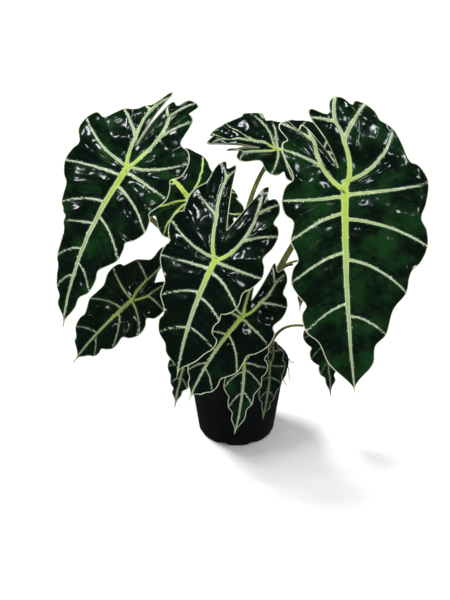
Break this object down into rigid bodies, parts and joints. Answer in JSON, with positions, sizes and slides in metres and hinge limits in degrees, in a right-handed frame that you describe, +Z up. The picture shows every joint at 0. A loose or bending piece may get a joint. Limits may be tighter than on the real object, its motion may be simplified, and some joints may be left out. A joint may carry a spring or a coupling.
{
  "type": "potted alocasia",
  "caption": "Arrow-shaped glossy dark leaves with pale veins on arching stems, growing from shoots in a black tapered nursery pot.",
  "frame": {"origin": "middle of the flat underside of the pot", "axes": "+Z up, the plant's front looks along -Y, +X to the viewer's right"},
  "size_m": [0.3827, 0.25, 0.422],
  "materials": {
    "pot": "satin black moulded plastic",
    "soil": "loose peat and bark",
    "corm": "scaly brown skin",
    "leaf": "glossy, pale veins above, purple brown below",
    "stem": "smooth, olive green",
    "sheath": "dry and papery",
    "root": "dry fibre"
  },
  "bodies": {
    "root": {"pot": "pot", "soil": "soil", "corm-main": "corm", "corm-left": "corm", "corm-right": "corm", "blade-left": "leaf", "stem-left": "stem", "blade-right": "leaf", "stem-right": "stem", "blade-centre": "leaf", "stem-centre": "stem", "blade-front": "leaf", "stem-front": "stem", "blade-low-left": "leaf", "stem-low-left": "stem", "blade-back-left": "leaf", "stem-back-left": "stem", "blade-top": "leaf", "stem-top": "stem", "blade-small-front": "leaf", "stem-small-front": "stem", "blade-small-right": "leaf", "stem-small-right": "stem", "blade-small-left": "leaf", "stem-small-left": "stem", "blade-far-right": "leaf", "stem-far-right": "stem", "blade-young": "leaf", "stem-young": "stem", "sheath-right": "sheath", "sheath-centre": "sheath", "sheath-young": "sheath", "root-right": "root", "root-front-right": "root", "root-stray": "root"}
  },
  "joints": []
}
